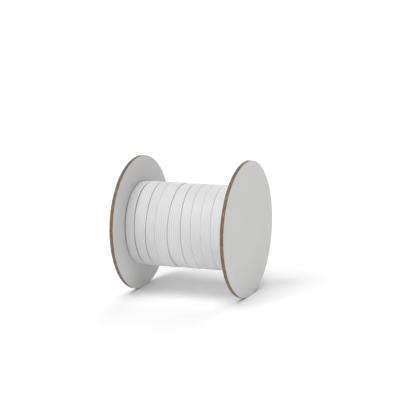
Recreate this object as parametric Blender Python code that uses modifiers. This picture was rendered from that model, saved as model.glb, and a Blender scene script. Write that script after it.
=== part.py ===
"""A reel of narrow braided elastic, standing on the rims of its two board flanges.

Metres, +Z up. The reel's axis runs along X at AXIS_HEIGHT, the origin is at the middle of its
underside, and -Y is the front. Angles round the axis are counted from the front, rising.
"""

import math
from collections import namedtuple

import bmesh
import bpy
from mathutils import Matrix

MM = 0.001

# The flanges
RIM_RADIUS = 40 * MM
BOARD = 2.3 * MM  # thickness of the board
PRESSED_EDGE = 0.25 * MM  # rounding that the cutting die leaves along its edges
FLAT_SPOT = 10 * MM  # length of the flat that each rim rests on
RIM_SIDES = 96

# The wound elastic
WOUND_RADIUS = 25 * MM  # over the backs of the outer turns
CLEARANCE = 0.3 * MM  # between the winding and each flange
TURN_SIDES = 72
SHOULDER = 0.22 * MM  # how far a turn's back drops towards its edges
SHOULDER_WIDTH = 0.7 * MM  # over what width it does so
OUT_OF_ROUND = 0.18 * MM
LOBES = 3  # high places in one trip round the winding

# The grooves between the turns of the outer layer, from the left flange to the right one, in
# millimetres but for the phase, which is in degrees.
#   place  distance from the winding's left end
#   gap    width between the two turns' shoulders
#   depth  below those shoulders' backs
#   sway   how far it wanders sideways, twice in one trip round
#   phase  where along that trip it does so
#   lift   how far the turn on its right stands above WOUND_RADIUS
Groove = namedtuple("Groove", "place gap depth sway phase lift")
GROOVES = (
    Groove(0.00, 0.60, 0.50, 0.00, 0, -0.10),
    Groove(5.95, 1.00, 0.75, 0.15, 80, 0.05),
    Groove(13.05, 0.70, 0.70, 0.70, 0, 0.12),
    Groove(18.75, 0.45, 0.30, 0.20, 25, 0.18),
    Groove(26.85, 1.10, 0.60, 0.65, 0, -0.05),
    Groove(35.00, 0.55, 0.65, 0.15, 100, 0.10),
    Groove(41.30, 0.50, 0.45, 0.20, 60, 0.00),
    Groove(47.50, 0.50, 0.40, 0.15, 120, 0.08),
    Groove(53.60, 0.55, 0.45, 0.15, 75, -0.04),
    Groove(59.60, 0.60, 0.50, 0.15, 90, 0.06),
    Groove(65.40, 0.60, 0.50, 0.00, 0, 0.00),
)

WOUND_WIDTH = GROOVES[-1].place * MM
FLANGE_X = WOUND_WIDTH / 2 + CLEARANCE + BOARD / 2
AXIS_HEIGHT = math.sqrt(RIM_RADIUS**2 - (FLAT_SPOT / 2) ** 2)

WHITE_LINING = (0.86, 0.86, 0.85)
WHITE_BRAID = (0.88, 0.88, 0.88)


def clear_scene():
    for obj in list(bpy.data.objects):
        bpy.data.objects.remove(obj, do_unlink=True)


def new_collection(name):
    collection = bpy.data.collections.new(name)
    bpy.context.scene.collection.children.link(collection)
    return collection


def put_in(collection, obj):
    for other in list(obj.users_collection):
        other.objects.unlink(obj)
    collection.objects.link(obj)


def principled(name, colour, roughness):
    material = bpy.data.materials.new(name)
    material.use_nodes = True
    shader = material.node_tree.nodes["Principled BSDF"]
    shader.inputs["Base Color"].default_value = (*colour, 1.0)
    shader.inputs["Roughness"].default_value = roughness
    shader.inputs["Metallic"].default_value = 0.0
    return material


def floor_cutter(collection):
    """A block whose top is the floor, which takes the flat spots off the rims."""
    side = 4 * RIM_RADIUS
    bpy.ops.mesh.primitive_cube_add(size=side, location=(0, 0, -side / 2))
    cutter = bpy.context.object
    cutter.name = "floor_cutter"
    cutter.hide_render = True
    cutter.display_type = "WIRE"
    put_in(collection, cutter)
    return cutter


def flange(name, centre_x, cutter, collection):
    """A die-cut disc of board across the reel's axis, with its flat spot on the floor."""
    bpy.ops.mesh.primitive_cylinder_add(
        vertices=RIM_SIDES,
        radius=RIM_RADIUS,
        depth=BOARD,
        location=(centre_x, 0, AXIS_HEIGHT),
        rotation=(0, math.pi / 2, 0),
    )
    disc = bpy.context.object
    disc.name = name
    disc.data.name = name

    flat = disc.modifiers.new("flat_spot", "BOOLEAN")
    flat.operation = "DIFFERENCE"
    flat.solver = "EXACT"
    flat.object = cutter

    # The limit lies between the rim's right angles and the slight ones along it.
    edges = disc.modifiers.new("pressed_edges", "BEVEL")
    edges.width = PRESSED_EDGE
    edges.segments = 2
    edges.limit_method = "ANGLE"
    edges.angle_limit = math.radians(40)

    disc.data.shade_smooth()
    disc.data.set_sharp_from_angle(angle=math.radians(40))
    disc.data.materials.append(principled(name, WHITE_LINING, 0.6))
    put_in(collection, disc)


def winding_outline():
    """The winding's half section as (place along the axis, radius), from axis to axis."""
    first, last = GROOVES[0], GROOVES[-1]
    points = [(first.place * MM, 0.0)]
    for left, right in zip(GROOVES, GROOVES[1:]):
        back = WOUND_RADIUS + left.lift * MM
        start = (left.place + left.gap / 2) * MM
        end = (right.place - right.gap / 2) * MM
        points += [
            (left.place * MM, back - left.depth * MM),
            (start, back - SHOULDER),
            (start + SHOULDER_WIDTH, back),
            (end - SHOULDER_WIDTH, back),
            (end, back - SHOULDER),
        ]
    points += [
        (last.place * MM, WOUND_RADIUS - last.depth * MM),
        (last.place * MM, 0.0),
    ]
    return [(place - WOUND_WIDTH / 2, radius) for place, radius in points]


def sway_of(groove, angle):
    return groove.sway * MM * math.sin(2 * angle + math.radians(groove.phase))


def sway_at(x, angle):
    """The sideways shift of the winding's surface: a mean of the two grooves that x is between."""
    place = (x + WOUND_WIDTH / 2) / MM
    for left, right in zip(GROOVES, GROOVES[1:]):
        if place <= right.place:
            break
    share = (place - left.place) / (right.place - left.place)
    share = min(max(share, 0.0), 1.0)
    return sway_of(left, angle) * (1 - share) + sway_of(right, angle) * share


def turned(outline, steps):
    """A closed mesh of an outline, given from -X to +X, turned about the X axis."""
    mesh = bpy.data.meshes.new("turned")
    form = bmesh.new()
    # It is turned about Z first, drawn downwards so that its faces point out.
    points = [form.verts.new((radius, 0.0, x)) for x, radius in reversed(outline)]
    for upper, lower in zip(points, points[1:]):
        form.edges.new((upper, lower))
    form.to_mesh(mesh)
    form.free()
    profile = bpy.data.objects.new("profile", mesh)
    bpy.context.scene.collection.objects.link(profile)

    screw = profile.modifiers.new("turned", "SCREW")
    screw.axis = "Z"
    screw.steps = steps
    screw.render_steps = steps
    screw.use_merge_vertices = True
    screw.merge_threshold = 0.01 * MM

    bpy.context.view_layer.update()
    evaluated = profile.evaluated_get(bpy.context.evaluated_depsgraph_get())
    solid = bpy.data.meshes.new_from_object(evaluated)
    bpy.data.objects.remove(profile, do_unlink=True)
    solid.transform(Matrix.Rotation(math.pi / 2, 4, "Y"))
    return solid


def wound_elastic(collection):
    """All the turns as one solid: turned, then its grooves made to wander and its round uneven."""
    solid = turned(winding_outline(), TURN_SIDES)
    solid.name = "wound_elastic"
    for vertex in solid.vertices:
        x, y, z = vertex.co
        radius = math.hypot(y, z)
        if radius < WOUND_RADIUS / 2:
            continue  # the middle of an end face
        angle = math.atan2(z, -y)
        lean = math.pi * x / WOUND_WIDTH
        swell = 1 + OUT_OF_ROUND / radius * math.sin(LOBES * angle + lean)
        vertex.co = (x + sway_at(x, angle), y * swell, z * swell)

    solid.shade_smooth()
    solid.materials.clear()
    solid.materials.append(principled("wound_elastic", WHITE_BRAID, 0.85))
    winding = bpy.data.objects.new("wound_elastic", solid)
    winding.location = (0, 0, AXIS_HEIGHT)
    collection.objects.link(winding)


clear_scene()
reel = new_collection("elastic_reel")
cutters = new_collection("cutters")
floor = floor_cutter(cutters)
flange("left_flange", -FLANGE_X, floor, reel)
flange("right_flange", FLANGE_X, floor, reel)
wound_elastic(reel)
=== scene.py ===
"""The looks of a reel of narrow white elastic: its two board flanges and its wound turns.

Metres, +Z up. The reel's axis runs along X, its underside is at Z = 0 and -Y is the front.
Angles round the axis are counted from the front, rising.
"""

import math
from collections import namedtuple

import bmesh
import bpy
from mathutils import Matrix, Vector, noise


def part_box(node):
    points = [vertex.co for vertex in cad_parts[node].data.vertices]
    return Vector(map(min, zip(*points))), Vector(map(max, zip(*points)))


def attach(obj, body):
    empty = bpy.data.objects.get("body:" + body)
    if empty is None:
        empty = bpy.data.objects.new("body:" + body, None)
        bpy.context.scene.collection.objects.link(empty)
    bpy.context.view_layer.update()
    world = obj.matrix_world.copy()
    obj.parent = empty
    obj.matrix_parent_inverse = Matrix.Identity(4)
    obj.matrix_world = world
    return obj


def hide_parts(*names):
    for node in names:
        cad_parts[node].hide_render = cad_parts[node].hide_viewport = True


MM = 0.001

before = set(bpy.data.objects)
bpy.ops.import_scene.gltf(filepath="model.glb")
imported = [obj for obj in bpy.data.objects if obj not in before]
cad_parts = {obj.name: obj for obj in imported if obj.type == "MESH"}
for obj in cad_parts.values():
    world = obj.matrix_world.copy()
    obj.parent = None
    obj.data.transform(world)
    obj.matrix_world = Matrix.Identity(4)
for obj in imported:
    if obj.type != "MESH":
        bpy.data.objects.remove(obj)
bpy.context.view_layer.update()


# ---------------------------------------------------------------------------------------------
# The camera. It stands to the right of the reel's front and a little above it, with a long lens,
# and it is turned by one degree, as the photograph is.
# ---------------------------------------------------------------------------------------------
CAMERA_PLACE = (0.31329, -0.72986, 0.20758)
CAMERA_YAW = math.radians(22.92)
CAMERA_DOWN = math.radians(10.88)
CAMERA_ROLL = math.radians(-0.98)
SENSOR_WIDTH = 36.0  # in millimetres, as the focal length is
FOCAL_LENGTH = 123.77


def stand(name, data):
    """Adds an object to the scene, at the origin."""
    thing = bpy.data.objects.new(name, data)
    bpy.context.scene.collection.objects.link(thing)
    return thing


lens = bpy.data.cameras.new("camera")
lens.sensor_width = SENSOR_WIDTH
lens.lens = FOCAL_LENGTH
camera = stand("camera", lens)
camera.matrix_world = (
    Matrix.Translation(CAMERA_PLACE)
    @ Matrix.Rotation(CAMERA_YAW, 4, "Z")
    @ Matrix.Rotation(math.pi / 2 - CAMERA_DOWN, 4, "X")
    @ Matrix.Rotation(CAMERA_ROLL, 4, "Z")
)
bpy.context.scene.camera = camera
bpy.context.scene.view_settings.view_transform = "Standard"


# ---------------------------------------------------------------------------------------------
# The studio. A wide pale floor in a white surround, under broad soft lights. The strongest ones
# come from the left, so that the left flange keeps its own inner face and the turns beside it
# in half shadow, and a low one from the right reaches little but the right flange's outer face.
# ---------------------------------------------------------------------------------------------
FLOOR_REACH = 8.0
FLOOR_COLOUR = (0.98, 0.98, 0.98)
FLOOR_ROUGHNESS = 0.9
SURROUND_STRENGTH = 0.24
SURROUND_SEEN = 1.0  # where the camera looks past the floor
SOFT_LIGHTS = (
    # name, strength, and in degrees: spread, turn from the front to the right, height
    ("above", 1.90, 45, -20, 70),
    ("left", 0.48, 40, -45, 20),
    ("front", 0.38, 40, 5, 20),
    ("behind", 0.84, 40, 180, 38),
    ("right", 0.26, 25, 92, 6),
)


class Quantity:
    """A number in a node tree. Arithmetic with it puts down the Math nodes that work it out."""

    def __init__(self, tree, socket):
        self.tree = tree
        self.socket = socket

    def step(self, operation, *values):
        """One Math node, with this number as its first input."""
        node = put(self.tree, "ShaderNodeMath", enumerate((self, *values)), operation=operation)
        return Quantity(self.tree, node.outputs[0])

    def __add__(self, other):
        return self.step("ADD", other)

    __radd__ = __add__

    def __sub__(self, other):
        return self.step("SUBTRACT", other)

    def __rsub__(self, other):
        return self * -1 + other

    def __mul__(self, other):
        return self.step("MULTIPLY", other)

    __rmul__ = __mul__

    def __truediv__(self, other):
        return self.step("DIVIDE", other)

    def __pow__(self, other):
        return self.step("POWER", other)

    def __abs__(self):
        return self.step("ABSOLUTE")


def put(tree, kind, inputs=(), **settings):
    """Adds a node. Its inputs, by socket name or number, are values, sockets or Quantities."""
    node = tree.nodes.new(kind)
    for name, value in settings.items():
        setattr(node, name, value)
    for socket, value in dict(inputs).items():
        if isinstance(value, Quantity):
            value = value.socket
        if isinstance(value, bpy.types.NodeSocket):
            tree.links.new(value, node.inputs[socket])
        else:
            node.inputs[socket].default_value = value
    return node


def blank_material(name, roughness):
    """A material with nothing but its shader, which is returned with the tree it stands in."""
    material = bpy.data.materials.new(name)
    material.use_nodes = True
    tree = material.node_tree
    shader = tree.nodes["Principled BSDF"]
    shader.inputs["Roughness"].default_value = roughness
    return material, tree, shader


world = bpy.data.worlds.new("surround")
world.use_nodes = True
sky = world.node_tree
sky.nodes["Background"].inputs["Color"].default_value = (1.0, 1.0, 1.0, 1.0)
by_camera = Quantity(sky, put(sky, "ShaderNodeLightPath").outputs["Is Camera Ray"])
sky_strength = by_camera * (SURROUND_SEEN - SURROUND_STRENGTH) + SURROUND_STRENGTH
sky.links.new(sky_strength.socket, sky.nodes["Background"].inputs["Strength"])
bpy.context.scene.world = world

for name, strength, spread, turn, height in SOFT_LIGHTS:
    light = bpy.data.lights.new(name, "SUN")
    light.energy = strength
    light.angle = math.radians(spread)
    lamp = stand(name, light)
    lamp.rotation_euler = (math.radians(90 - height), 0.0, math.radians(turn))

floor_mesh = bpy.data.meshes.new("floor")
floor_form = bmesh.new()
bmesh.ops.create_grid(floor_form, x_segments=1, y_segments=1, size=FLOOR_REACH)
floor_form.to_mesh(floor_mesh)
floor_form.free()
floor_paint, _, floor_shader = blank_material("pale_floor", FLOOR_ROUGHNESS)
floor_shader.inputs["Base Color"].default_value = (*FLOOR_COLOUR, 1.0)
floor_shader.inputs["Specular IOR Level"].default_value = 0.0
floor_mesh.materials.append(floor_paint)
floor = stand("floor", floor_mesh)


# ---------------------------------------------------------------------------------------------
# The two flanges. Each is a disc of thick brown chipboard with smooth white paper pasted on both
# faces, cut out with a die that presses the paper down at the edge and leaves the brown plies
# bare round the rim. A short flat in the rim stands on the floor.
# ---------------------------------------------------------------------------------------------
PAPER = 0.10 * MM  # thickness of the white lining, with its paste
PRESSED_EDGE = 0.28 * MM
WARP = 0.12 * MM
RIM_UNEVEN = 0.05 * MM
RIM_WAVES = (
    # how many go into a radian of the rim, about, and into the board's thickness; their share
    (9, 5, 0.6),
    (55, 10, 0.4),
)
RIM_SIDES = 320
FACE_RINGS = (0.10, 0.25, 0.40, 0.55, 0.68, 0.79, 0.88, 0.94, 0.975)  # shares of the radius
EDGE_STEPS = 4
RIM_STEPS = 10

# The paper. Its patterns are given as their fineness, in features a metre, about, and detail.
PAPER_WHITE = (0.77, 0.77, 0.765)
PAPER_SHADE = (0.695, 0.695, 0.685)
PAPER_ROUGHNESS = 0.62
CLOUDS = (
    # pattern, share
    ((110.0, 4.0), 0.60),
    ((700.0, 3.0), 0.45),
)
FIBRES = (820.0, 1.5)
FIBRE_CURL = 1.4
FIBRE_THINNESS = 28  # a higher number makes them thinner
FIBRE_PATCHES = (330.0, 1.0)  # where there are more of them, and fewer
FIBRE_GREY, FIBRE_RELIEF = 0.45, 0.2
TOOTH = (1400.0, 2.0)
TOOTH_RELIEF = 0.2
TORN = (900.0, 3.0)
TORN_DEPTH = 0.10 * MM  # how far the paper's ragged edge reaches in and out, in all
TORN_SOFTNESS = 0.02 * MM

# The bare board round the rim.
BARE_BOARD = (0.195, 0.119, 0.070)
BARE_BOARD_DARK = (0.112, 0.073, 0.046)
BARE_BOARD_PALE = (0.300, 0.190, 0.117)
BOARD_MOTTLE = (
    # features a millimetre along the rim, and through the board; detail, roughness, share
    (0.12, 4.5, 2.0, 0.5, 0.22),  # layers
    (4.0, 5.0, 3.0, 0.7, 0.43),  # pulp
    (0.32, 0.4, 1.0, 0.5, 0.35),  # slow changes
)
MOTTLE_DARK, MOTTLE_PALE = 0.41, 0.59  # where in the mottling those colours are reached
MOTTLE_RELIEF = 2.6
INNER_SIDE_PAINTED_SHADE = 0.45  # how much darker it is beside the inner face: painted shade
PAINTED_SHADE_FADE = 2.5  # a higher number keeps that closer to the inner face
BOARD_BUMP, BOARD_BUMP_DEPTH = 0.8, 0.1 * MM

low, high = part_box("left_flange")
BOARD = high.x - low.x
RIM_RADIUS = (high.y - low.y) / 2
AXIS_HEIGHT = high.z - RIM_RADIUS


def board_section():
    """Half a flange's section, as (depth, radius): depth rises from the outer face inwards."""
    edge_arc = [
        (1 - math.cos(step * math.pi / 2 / EDGE_STEPS), math.sin(step * math.pi / 2 / EDGE_STEPS))
        for step in range(EDGE_STEPS + 1)
    ]
    shoulder = RIM_RADIUS - PRESSED_EDGE
    points = [(0.0, share * RIM_RADIUS) for share in FACE_RINGS]
    points += [(back * PRESSED_EDGE, shoulder + out * PRESSED_EDGE) for back, out in edge_arc]
    bare = BOARD - 2 * PRESSED_EDGE
    points += [
        (PRESSED_EDGE + bare * step / RIM_STEPS, RIM_RADIUS) for step in range(1, RIM_STEPS)
    ]
    points += [
        (BOARD - back * PRESSED_EDGE, shoulder + out * PRESSED_EDGE)
        for back, out in reversed(edge_arc)
    ]
    points += [(BOARD, share * RIM_RADIUS) for share in reversed(FACE_RINGS)]
    return points


def rim_reach(forward, up, depth, seed):
    """The rim's own radius in a direction: slightly uneven, and cut short by the floor."""
    to_floor = AXIS_HEIGHT / -up if up < 0 else math.inf
    rough = sum(
        share * noise.noise((forward * waves + seed, up * waves, depth / BOARD * plies))
        for waves, plies, share in RIM_WAVES
    )
    return min(RIM_RADIUS - RIM_UNEVEN * (0.5 - rough), to_floor)


def chart_board(form, chart, ply_depth):
    """Lays out a flange's UVs in millimetres: its faces flat, and its rim unrolled."""
    for face in form.faces:
        middle = face.calc_center_median()
        start = math.atan2(middle.z - AXIS_HEIGHT, -middle.y)
        on_rim = abs(face.normal.x) < math.cos(math.radians(45))
        for loop in face.loops:
            _, y, z = loop.vert.co
            if on_rim:
                # Without a jump where the angle starts again.
                turn = math.atan2(z - AXIS_HEIGHT, -y) - start
                turn = (turn + math.pi) % (2 * math.pi) - math.pi
                loop[chart].uv = ((start + turn) * RIM_RADIUS / MM, loop.vert[ply_depth] / MM)
            else:
                loop[chart].uv = (y / MM, z / MM)


def lined_disc(name, outer_x, inwards, seed):
    """A flange from its outer face, inwards along +1 or -1 of X, as a closed mesh with its UVs."""
    form = bmesh.new()
    chart = form.loops.layers.uv.new("UVMap")
    ply_depth = form.verts.layers.float.new("ply_depth")
    rings = []
    for depth, radius in board_section():
        ring = []
        for side in range(RIM_SIDES):
            angle = 2 * math.pi * side / RIM_SIDES
            forward, up = math.cos(angle), math.sin(angle)
            reach = radius * rim_reach(forward, up, depth, seed) / RIM_RADIUS
            bend = WARP * (radius / RIM_RADIUS) ** 2 * math.sin(2 * angle + seed)
            x = outer_x + inwards * depth + bend
            ring.append(form.verts.new((x, -reach * forward, AXIS_HEIGHT + reach * up)))
            ring[-1][ply_depth] = depth
        rings.append(ring)
    poles = [
        form.verts.new((outer_x, 0, AXIS_HEIGHT)),
        form.verts.new((outer_x + inwards * BOARD, 0, AXIS_HEIGHT)),
    ]
    poles[1][ply_depth] = BOARD
    for side in range(RIM_SIDES):
        after = (side + 1) % RIM_SIDES
        for near, far in zip(rings, rings[1:]):
            form.faces.new((near[side], near[after], far[after], far[side]))
        form.faces.new((poles[0], rings[0][after], rings[0][side]))
        form.faces.new((poles[1], rings[-1][side], rings[-1][after]))
    bmesh.ops.recalc_face_normals(form, faces=form.faces)
    for face in form.faces:
        face.smooth = True
    chart_board(form, chart, ply_depth)
    mesh = bpy.data.meshes.new(name)
    form.to_mesh(mesh)
    form.free()
    return stand(name, mesh)


def mix_colours(tree, share, first, second):
    """A blend of two colours, each an RGB triple or a socket."""
    inputs = {0: share}
    for socket, colour in ((6, first), (7, second)):
        inputs[socket] = (*colour, 1.0) if isinstance(colour, tuple) else colour
    return put(tree, "ShaderNodeMix", inputs, data_type="RGBA").outputs[2]


def noise_on(tree, vector, fineness, detail, roughness=0.5, distortion=0.0):
    """A noise that lies mostly between 0.3 and 0.7, as a Quantity."""
    inputs = {"Vector": vector, "Scale": fineness, "Detail": detail}
    inputs |= {"Roughness": roughness, "Distortion": distortion}
    return Quantity(tree, put(tree, "ShaderNodeTexNoise", inputs).outputs["Fac"])


def add_bump(tree, shader, height, strength, depth):
    """Gives a shader its fine relief, from a height that is multiplied by a depth."""
    inputs = {"Height": height, "Distance": depth, "Strength": strength}
    bump = put(tree, "ShaderNodeBump", inputs)
    tree.links.new(bump.outputs["Normal"], shader.inputs["Normal"])


def paper_finish(tree, place):
    """The white lining's colour and relief: nearly even, but for clouds and a few fibres."""
    cloud = 0
    for pattern, share in CLOUDS:
        cloud = noise_on(tree, place, *pattern) * share + cloud
    # The fibres are thin curly lines, where a distorted noise passes through its middle.
    curls = noise_on(tree, place, *FIBRES, distortion=FIBRE_CURL) - 0.5
    fibres = (1 - abs(curls) * FIBRE_THINNESS).step("MAXIMUM", 0)
    fibres = fibres * noise_on(tree, place, *FIBRE_PATCHES)
    colour = mix_colours(tree, cloud - fibres * FIBRE_GREY, PAPER_SHADE, PAPER_WHITE)
    relief = noise_on(tree, place, *TOOTH) * TOOTH_RELIEF + fibres * FIBRE_RELIEF
    return colour, relief


def bare_finish(tree, depth):
    """The bare edge's colour and relief: plies and pulp, with painted shade beside the inner face.
    """
    along = put(tree, "ShaderNodeUVMap", uv_map="UVMap").outputs["UV"]
    mottle = 0
    for along_rim, through, detail, roughness, share in BOARD_MOTTLE:
        inputs = {"Vector": along, "Scale": (along_rim, through, 1.0)}
        stretched = put(tree, "ShaderNodeMapping", inputs).outputs["Vector"]
        mottle = noise_on(tree, stretched, 1.0, detail, roughness) * share + mottle
    plies = put(tree, "ShaderNodeValToRGB", {"Fac": mottle})
    ramp = plies.color_ramp
    ramp.elements[0].position = MOTTLE_DARK
    ramp.elements[0].color = (*BARE_BOARD_DARK, 1.0)
    ramp.elements[1].position = MOTTLE_PALE
    ramp.elements[1].color = (*BARE_BOARD_PALE, 1.0)
    ramp.elements.new((MOTTLE_DARK + MOTTLE_PALE) / 2).color = (*BARE_BOARD, 1.0)
    # Painted shade: the bare plies are darkened towards the inner face.
    inner_side_shade = ((depth / BOARD).step("MAXIMUM", 0) ** PAINTED_SHADE_FADE) * INNER_SIDE_PAINTED_SHADE
    colour = mix_colours(tree, inner_side_shade, plies.outputs["Color"], BARE_BOARD_DARK)
    return colour, mottle * MOTTLE_RELIEF


def lined_board(name):
    """White paper on the faces and over the pressed edges, bare plies of chipboard between."""
    material, tree, shader = blank_material(name, PAPER_ROUGHNESS)
    place = put(tree, "ShaderNodeTexCoord").outputs["Object"]

    # How deep a point lies in the board from the outer face, and from the nearer one.
    depth = put(tree, "ShaderNodeAttribute", attribute_name="ply_depth").outputs["Fac"]
    depth = Quantity(tree, depth)
    torn = (noise_on(tree, place, *TORN) - 0.5) * TORN_DEPTH
    covered = BOARD / 2 - abs(depth - BOARD / 2) + torn
    paper_end = {"From Min": PAPER - TORN_SOFTNESS, "From Max": PAPER + TORN_SOFTNESS}
    bare = put(tree, "ShaderNodeMapRange", {"Value": covered, **paper_end}).outputs["Result"]
    bare = Quantity(tree, bare)

    paper_colour, paper_relief = paper_finish(tree, place)
    board_colour, board_relief = bare_finish(tree, depth)
    colour = mix_colours(tree, bare, paper_colour, board_colour)
    tree.links.new(colour, shader.inputs["Base Color"])
    height = paper_relief + (board_relief - paper_relief) * bare
    add_bump(tree, shader, height, BOARD_BUMP, BOARD_BUMP_DEPTH)
    return material


board = lined_board("white_lined_board")
for node, inwards, seed in (("left_flange", 1, 3.0), ("right_flange", -1, 11.0)):
    low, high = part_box(node)
    outer_x = low.x if inwards > 0 else high.x
    disc = lined_disc(node.replace("_flange", "_lined_disc"), outer_x, inwards, seed)
    disc.data.materials.append(board)
    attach(disc, "root")
    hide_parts(node)


# ---------------------------------------------------------------------------------------------
# The outer turns. One long strand of flat braided elastic: white yarns plaited round rubber
# threads, whose slanting stitches meet in a V on each rib. It is wound side by side from flange
# to flange, and steps to the next lane behind the reel, so that the turns lie straight in front.
# ---------------------------------------------------------------------------------------------
WOUND_RADIUS = 25.0 * MM
OUT_OF_ROUND = 0.18 * MM
LOBES = 3  # high places in one trip round the winding
CROSSING_FROM = math.radians(120)  # where a turn leaves its lane for the next one, behind
CROSSING_TO = math.radians(240)
START_ANGLE = math.radians(-175)  # where the strand's first end is, behind
SINK_ANGLE = math.radians(65)  # over how much of its round each end of the strand sinks
BURIED_ANGLE = SINK_ANGLE / 6  # and how much of that it lies at its deepest
SINK_DEPTH = 1.3 * MM
CUT_LANES = (3, 6)  # the strand is in three lengths, cut under the reel before these lanes' turns

# The strand.
WIDTH = 6.2 * MM  # a turn's usual width
STRAND = 0.92 * MM  # thickness, wound under a slight pull
SHOULDER = 0.12 * MM  # how far its back droops towards its edges
SQUARENESS = 14  # of its edges: a higher number rounds less of them
RIBS = 6
RIB_HEIGHT = 0.24 * MM
LEG_BULGE, RIB_BULGE = 0.45, 0.65  # how a rib's height is shared by its V's legs and its whole
STITCH = 0.95 * MM
STITCH_DEPTH = 0.65  # share of the rib's height that is lost between two stitches
STITCH_LEAN = 0.6  # a lower number brings a stitch's highest place nearer to where it comes out
STITCH_FULLNESS = 0.5  # a lower number makes its back broader
SLANT = 0.50 * MM  # from the tip of a V back to its ends
EDGE_LOOP = 0.07 * MM  # how far the edge yarns stand out at each stitch
UNEVENNESS = 0.25 * MM
UNEVEN_RISE = 0.4  # how much of that unevenness, which is its width's, its height has too
RIB_UNEVENNESS = 0.5
POINTS_A_RIB, UNDER_POINTS = 4, 3
ROWS = (0.0, 0.18, 0.5, 0.68)  # places in a stitch, also in one that is half a stitch further on

# How often the unevenness changes, for each metre of strand, and how far apart in it two ribs
# or the two edges are.
RIB_CHANGES, RIB_APART = 55, 3.7
EDGE_CHANGES, EDGES_APART = 90, 1.2

# The yarn.
BRAID_WHITE = (0.84, 0.84, 0.845)
# The darker yarn colour, used both for the yarn's own changes of tone and for painted shade in the
# grooves.
BRAID_PAINTED_SHADE_AND_TONE = (0.49, 0.49, 0.505)
BRAID_ROUGHNESS = 0.82
BRAID_SHEEN, BRAID_SHEEN_ROUGHNESS = 0.15, 0.5
BRAID_SPECULAR = 0.25
FILAMENTS = (9, 2, 3.3)  # changes along a stitch, across a rib, and from one rib to the next
FLUFF = (2600.0, 3.0)  # fineness and detail, as the paper's patterns have them
BLOTCHES = (60.0, 2.0)
BRAID_BUMP, BRAID_BUMP_DEPTH = 0.9, 0.08 * MM

# The grooves between the turns, from the left flange to the right one, in millimetres but for
# the phase, which is in degrees.
#   place  distance from the winding's left end
#   open   how far the two turns' edges lie apart
#   sway   how far the groove wanders sideways, twice in one trip round
#   phase  where along that trip it does so
#   lift   how far the turn on its right stands above WOUND_RADIUS
#   tilt   how much higher that turn's right edge lies than its left one
Groove = namedtuple("Groove", "place open sway phase lift tilt")
GROOVES = (
    Groove(0.05, -0.30, 0.10, 100, -0.10, 0.10),
    Groove(5.75, 0.26, 0.24, 120, 0.05, 0.00),
    Groove(12.95, 0.08, 0.66, 20, 0.12, -0.10),
    Groove(19.00, -0.18, 0.42, 0, 0.18, 0.06),
    Groove(26.80, -0.22, 0.56, 0, -0.05, 0.26),
    Groove(34.70, 0.00, 0.65, 95, 0.10, 0.00),
    Groove(40.95, -0.16, 0.62, 108, 0.00, 0.08),
    Groove(47.00, -0.17, 0.80, 102, 0.08, 0.04),
    Groove(53.25, -0.18, 0.67, 110, -0.04, 0.06),
    Groove(59.50, -0.14, 0.30, 100, 0.06, -0.06),
    Groove(65.40, -0.30, 0.00, 0, 0.00, 0.00),
)
LANES = len(GROOVES) - 1
WOUND_WIDTH = GROOVES[-1].place * MM
END_ANGLE = math.radians(160) + (LANES - 1) * 2 * math.pi  # its last end is behind too


def groove_x(groove, angle):
    """Where a groove lies along X at an angle round the axis."""
    shift = groove.sway * math.sin(2 * angle + math.radians(groove.phase))
    return (groove.place + shift) * MM - WOUND_WIDTH / 2


def between(values, lane):
    """A value for a lane that may lie between two whole ones."""
    lane = min(max(lane, 0.0), len(values) - 1.0)
    whole = min(int(lane), len(values) - 2)
    share = lane - whole
    return values[whole] * (1 - share) + values[whole + 1] * share


def smooth_step(start, end, value):
    """How far a value has come from start to end, from 0 to 1, leaving and arriving gently."""
    share = min(max((value - start) / (end - start), 0.0), 1.0)
    return share * share * (3 - 2 * share)


def lane_of(turned):
    """Which lane the strand's left edge is in, after turning so far from the first lane's front."""
    turns = math.floor((turned + CROSSING_FROM) / (2 * math.pi))
    return turns + smooth_step(CROSSING_FROM, CROSSING_TO, turned - turns * 2 * math.pi)


def laid_at(turned, radius, lift_share, mirrored):
    """How the strand is laid after turning so far: the attributes of a point of its path.

    Its first end rises from the layer below, and its last end sinks under the turn before it.
    """
    grooves = [groove_x(groove, turned) for groove in GROOVES]
    opens = [groove.open * MM for groove in GROOVES]
    lifts = [groove.lift * MM for groove in GROOVES[:LANES]]
    tilts = [groove.tilt * MM for groove in GROOVES[:LANES]]
    lane = min(max(lane_of(turned), 0.0), LANES - 1.0)
    left = between(grooves, lane) + between(opens, lane) / 2
    right = between(grooves, lane + 1) - between(opens, lane + 1) / 2
    middle = (left + right) / 2
    sunk = 1 - smooth_step(START_ANGLE + BURIED_ANGLE, START_ANGLE + SINK_ANGLE, turned)
    sunk += smooth_step(END_ANGLE - SINK_ANGLE, END_ANGLE - BURIED_ANGLE, turned)
    around = turned + (math.pi if mirrored else 0.0)
    swell = OUT_OF_ROUND * math.sin(LOBES * around + math.pi * middle / WOUND_WIDTH)
    side = -1 if mirrored else 1
    return {
        "around": around,
        "middle": side * middle,
        "wide": right - left,
        "level": radius + between(lifts, lane) * lift_share + swell - SINK_DEPTH * sunk,
        "bank": side * between(tilts, lane) * lift_share,
    }


def strand_path(name, places, radius, lift_share, mirrored):
    """A stretch of the strand's middle line, with a point at each of some places along it."""
    rows = []
    for along in places:
        row = laid_at(START_ANGLE + along / WOUND_RADIUS, radius, lift_share, mirrored)
        rows.append({**row, "along": along})
    mesh = bpy.data.meshes.new(name)
    mesh.from_pydata(
        [(row["along"], 0.0, 0.0) for row in rows],
        [(number, number + 1) for number in range(len(rows) - 1)],
        [],
    )
    for column in rows[0]:
        attribute = mesh.attributes.new(column, "FLOAT", "POINT")
        attribute.data.foreach_set("value", [row[column] for row in rows])
    return stand(name, mesh)


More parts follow.
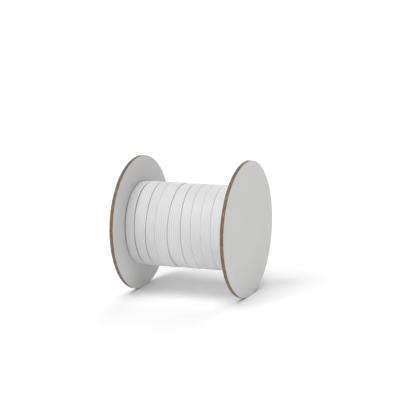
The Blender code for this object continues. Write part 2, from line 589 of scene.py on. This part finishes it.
def rib_form(in_rib):
    """How high the braid stands at a share of a rib's width: the two legs of a V on its bulge."""
    legs = abs((in_rib * (2 * math.pi)).step("SINE"))
    return legs * LEG_BULGE + (in_rib * math.pi).step("SINE") * RIB_BULGE


def stitch_form(stitches):
    """How high it stands at a count of stitches: 0 between two of them, 1 on the back of one.

    A stitch comes out steeply from under the one before it, and sinks slowly to the next.
    """
    back = ((stitches.step("FRACT") ** STITCH_LEAN) * math.pi).step("SINE")
    return back.step("MAXIMUM", 0) ** STITCH_FULLNESS


def half_stitch_on(rib):
    """By how much of a stitch a rib's stitches are further on: by a half on every second rib."""
    return rib.step("MODULO", 2) * 0.5


def keep_named(tree, geometry, name, value, data_type="FLOAT", domain="POINT"):
    """Keeps a value on the geometry as a named attribute, and returns the geometry's socket."""
    inputs = {"Geometry": geometry, "Name": name, "Value": value}
    kind = "GeometryNodeStoreNamedAttribute"
    return put(tree, kind, inputs, data_type=data_type, domain=domain).outputs["Geometry"]


def strand_section(tree, size):
    """The strand's section, a closed curve whose points keep what they need to be placed.

    They go over the ribbed back first, from left to right, and then back along underneath.
    """
    last_on_back = size("Ribs") * size("Points A Rib")
    number = Quantity(tree, put(tree, "GeometryNodeInputIndex").outputs["Index"])
    on_back = number.step("LESS_THAN", last_on_back + 0.5)
    across_back = number / last_on_back - 0.5
    across_under = 0.5 - (number - last_on_back) / (size("Underside Points") + 1)
    across = across_under + (across_back - across_under) * on_back
    outward = abs(across) * 2
    full = (1 - outward**SQUARENESS).step("MAXIMUM", 0).step("SQRT")
    ribs = (across + 0.5) * size("Ribs")
    up = size("Thickness") * 0.5 * (full * (on_back * 2 - 1) - 1)
    up = up - size("Shoulder") * outward**4 - size("Rib Height") * full * on_back
    section = put(
        tree,
        "GeometryNodeCurvePrimitiveCircle",
        {"Resolution": last_on_back + size("Underside Points") + 1},
    ).outputs["Curve"]
    for name, value in (
        ("across", across),
        ("up", up),
        ("rib", ribs.step("FLOOR")),
        ("ridge", rib_form(ribs.step("FRACT")) * size("Rib Height") * full * on_back),
        ("behind", abs(ribs.step("FRACT") * 2 - 1) * on_back),
    ):
        section = keep_named(tree, section, name, value)
    return section


def strand_tree():
    """Nodes that sweep the strand's ribbed section along its path and wrap it round the axis."""
    tree = bpy.data.node_groups.new("wound_strand", "GeometryNodeTree")
    for name, kind in (
        ("Path", "Geometry"),
        ("Ribs", "Int"),
        ("Points A Rib", "Int"),
        ("Underside Points", "Int"),
        ("Rib Height", "Float"),
        ("Stitch", "Float"),
        ("Stitch Depth", "Float"),
        ("Slant", "Float"),
        ("Edge Loop", "Float"),
        ("Thickness", "Float"),
        ("Shoulder", "Float"),
        ("Axis Height", "Float"),
        ("Unevenness", "Float"),
        ("Rib Unevenness", "Float"),
        ("Seed", "Float"),
        ("Braid", "Material"),
    ):
        tree.interface.new_socket(name, in_out="INPUT", socket_type="NodeSocket" + kind)
    tree.interface.new_socket("Strand", in_out="OUTPUT", socket_type="NodeSocketGeometry")
    given = tree.nodes.new("NodeGroupInput").outputs

    def size(name):
        return Quantity(tree, given[name])

    def read(name):
        node = put(tree, "GeometryNodeInputNamedAttribute", {"Name": name}, data_type="FLOAT")
        return Quantity(tree, node.outputs["Attribute"])

    def drift(x, y):
        """A slow random change along the strand, from about -0.5 to 0.5."""
        sample = put(tree, "ShaderNodeCombineXYZ", {0: x, 1: y}).outputs["Vector"]
        inputs = {"Vector": sample, "W": size("Seed"), "Scale": 1.0, "Detail": 2.0}
        node = put(tree, "ShaderNodeTexNoise", inputs, noise_dimensions="4D")
        return Quantity(tree, node.outputs["Fac"]) - 0.5

    swept = put(
        tree,
        "GeometryNodeCurveToMesh",
        {
            "Curve": put(tree, "GeometryNodeMeshToCurve", {"Mesh": given["Path"]}).outputs["Curve"],
            "Profile Curve": strand_section(tree, size),
            "Fill Caps": True,
        },
    ).outputs["Mesh"]

    # The braid: stitches along each rib, and loops at the two edges.
    stitches = read("along") / size("Stitch")
    backs = stitch_form(stitches + half_stitch_on(read("rib")))
    plump = drift(read("along") * RIB_CHANGES, read("rib") * RIB_APART) * size("Rib Unevenness")
    relief = read("ridge") * (plump + 1) * (1 - size("Stitch Depth") * (1 - backs))
    edge = (read("across") * 2) ** (SQUARENESS + 1) * size("Edge Loop")
    edge = edge * (stitch_form(stitches) - 0.5)

    # Each point's place: across the strand, out from the axis and round it, a little unevenly.
    waver = drift(read("along") * EDGE_CHANGES, read("across") * EDGES_APART) * size("Unevenness")
    x = read("across") * (read("wide") + waver) + read("middle") + edge
    radius = read("across") * read("bank") + read("level") + read("up") + relief
    radius = radius + waver * UNEVEN_RISE
    around = read("around") - read("behind") * size("Slant") / read("level")
    y = radius * around.step("COSINE") * -1
    z = radius * around.step("SINE") + size("Axis Height")
    place = put(tree, "ShaderNodeCombineXYZ", {0: x, 1: y, 2: z}).outputs["Vector"]
    wrapped = put(tree, "GeometryNodeSetPosition", {"Geometry": swept, "Position": place})

    # The chart runs over the strand's width from 0 to 1, and along it in the same measure.
    chart = {0: read("across") + 0.5, 1: read("along") / WIDTH}
    chart = put(tree, "ShaderNodeCombineXYZ", chart).outputs["Vector"]
    charted = keep_named(tree, wrapped.outputs["Geometry"], "UVMap", chart, "FLOAT2", "CORNER")
    smooth = put(tree, "GeometryNodeSetShadeSmooth", {"Geometry": charted})
    real = put(tree, "GeometryNodeRealizeInstances", {"Geometry": smooth.outputs["Geometry"]})
    clothed = put(
        tree,
        "GeometryNodeSetMaterial",
        {"Geometry": real.outputs["Geometry"], "Material": given["Braid"]},
    )
    finished = tree.nodes.new("NodeGroupOutput").inputs["Strand"]
    tree.links.new(clothed.outputs["Geometry"], finished)
    return tree


def wound_mesh(path, name, tree, sizes):
    """The path's strand as a plain mesh piece, without what its points kept. The path goes."""
    winding = path.modifiers.new("wound_strand", "NODES")
    winding.node_group = tree
    for socket in tree.interface.items_tree:
        if socket.in_out == "INPUT" and socket.name in sizes:
            winding[socket.identifier] = sizes[socket.name]
    bpy.context.view_layer.update()
    evaluated = path.evaluated_get(bpy.context.evaluated_depsgraph_get())
    mesh = bpy.data.meshes.new_from_object(evaluated)
    bpy.data.objects.remove(path, do_unlink=True)
    for column in [kept.name for kept in mesh.attributes if kept.data_type == "FLOAT"]:
        mesh.attributes.remove(mesh.attributes[column])

    # The two ends, each one face of many corners, become fans with a sharp edge.
    form = bmesh.new()
    form.from_mesh(mesh)
    bmesh.ops.recalc_face_normals(form, faces=form.faces)
    cut_ends = [face for face in form.faces if len(face.verts) > 4]
    for edge in {edge for face in cut_ends for edge in face.edges}:
        edge.smooth = False
    bmesh.ops.poke(form, faces=cut_ends)
    form.to_mesh(mesh)
    form.free()
    mesh.name = name
    return stand(name, mesh)


def braided_white(name):
    """White polyester yarn: filaments that follow the stitches, with painted shade in the grooves.
    """
    material, tree, shader = blank_material(name, BRAID_ROUGHNESS)
    shader.inputs["Sheen Weight"].default_value = BRAID_SHEEN
    shader.inputs["Sheen Roughness"].default_value = BRAID_SHEEN_ROUGHNESS
    shader.inputs["Specular IOR Level"].default_value = BRAID_SPECULAR
    place = put(tree, "ShaderNodeTexCoord").outputs["Object"]
    chart = put(tree, "ShaderNodeUVMap", uv_map="UVMap").outputs["UV"]
    axes = put(tree, "ShaderNodeSeparateXYZ", {"Vector": chart}).outputs

    ribs = Quantity(tree, axes["X"]) * RIBS
    rib = ribs.step("FLOOR")
    in_rib = ribs.step("FRACT")
    stitches = Quantity(tree, axes["Y"]) * (WIDTH / STITCH) + half_stitch_on(rib)
    relief = rib_form(in_rib) * (1 - (1 - stitch_form(stitches)) * STITCH_DEPTH)
    yarn = {axis: part * FILAMENTS[axis] for axis, part in enumerate((stitches, in_rib, rib))}
    yarn = put(tree, "ShaderNodeCombineXYZ", yarn).outputs["Vector"]
    filaments = noise_on(tree, yarn, 1.0, 1.0)
    fluff = noise_on(tree, place, *FLUFF)
    blotch = noise_on(tree, place, *BLOTCHES)

    # Painted shade in the grooves between ribs and stitches, from the relief, mixed with the yarn's
    # own tone from filaments, blotches and fluff.
    light = relief * 0.5 + filaments * 0.3 + blotch * 0.4 + fluff * 0.1 - 0.12
    tree.links.new(mix_colours(tree, light, BRAID_PAINTED_SHADE_AND_TONE, BRAID_WHITE), shader.inputs["Base Color"])
    height = relief * 0.4 + filaments * 0.6 + fluff * 0.25
    add_bump(tree, shader, height, BRAID_BUMP, BRAID_BUMP_DEPTH)
    return material


winding_tree = strand_tree()
strand_sizes = {
    "Ribs": RIBS,
    "Points A Rib": POINTS_A_RIB,
    "Underside Points": UNDER_POINTS,
    "Rib Height": RIB_HEIGHT,
    "Stitch": STITCH,
    "Stitch Depth": STITCH_DEPTH,
    "Slant": SLANT,
    "Edge Loop": EDGE_LOOP,
    "Thickness": STRAND,
    "Shoulder": SHOULDER,
    "Axis Height": AXIS_HEIGHT,
    "Unevenness": UNEVENNESS,
    "Rib Unevenness": RIB_UNEVENNESS,
    "Seed": 4.0,
    "Braid": braided_white("white_braid"),
}
strand_length = (END_ANGLE - START_ANGLE) * WOUND_RADIUS
cuts = [0.0]
cuts += [(2 * math.pi * lane - math.pi / 2 - START_ANGLE) * WOUND_RADIUS for lane in CUT_LANES]
cuts += [strand_length]
cuts = [round(cut / STITCH) for cut in cuts]
for number, (first, last) in enumerate(zip(cuts, cuts[1:]), start=1):
    places = [(stitch + row) * STITCH for stitch in range(first, last) for row in ROWS]
    places.append(last * STITCH)
    path = strand_path("path", places, WOUND_RADIUS, 1.0, mirrored=False)
    turns = wound_mesh(path, f"outer_turns_{number}", winding_tree, strand_sizes)
    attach(turns, "root")
    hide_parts("wound_elastic")


# ---------------------------------------------------------------------------------------------
# The two layers below. They are the same strand, which is wound back from flange to flange and
# out again, and they show in the grooves and in the two wedges behind, where the outer layer
# starts and ends.
# ---------------------------------------------------------------------------------------------
LAYER_GAP = 0.04 * MM
UNDER_ROW = 2.0 * MM  # length between two of its sections
UNDER_LIFT = 0.3  # how much of the outer turns' lifts and tilts these have
UNDER_LAYERS = (
    # name, whether it is wound back, seed
    ("under_turns", True, 9.0),
    ("deeper_turns", False, 21.0),
)

under_places = [row * UNDER_ROW for row in range(int(strand_length / UNDER_ROW) + 1)]
for depth, (name, mirrored, seed) in enumerate(UNDER_LAYERS, start=1):
    radius = WOUND_RADIUS - depth * (STRAND + LAYER_GAP)
    path = strand_path("path", under_places, radius, UNDER_LIFT, mirrored)
    layer_sizes = {**strand_sizes, "Stitch Depth": 0.0, "Edge Loop": 0.0, "Seed": seed}
    turns = wound_mesh(path, name, winding_tree, layer_sizes)
    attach(turns, "root")
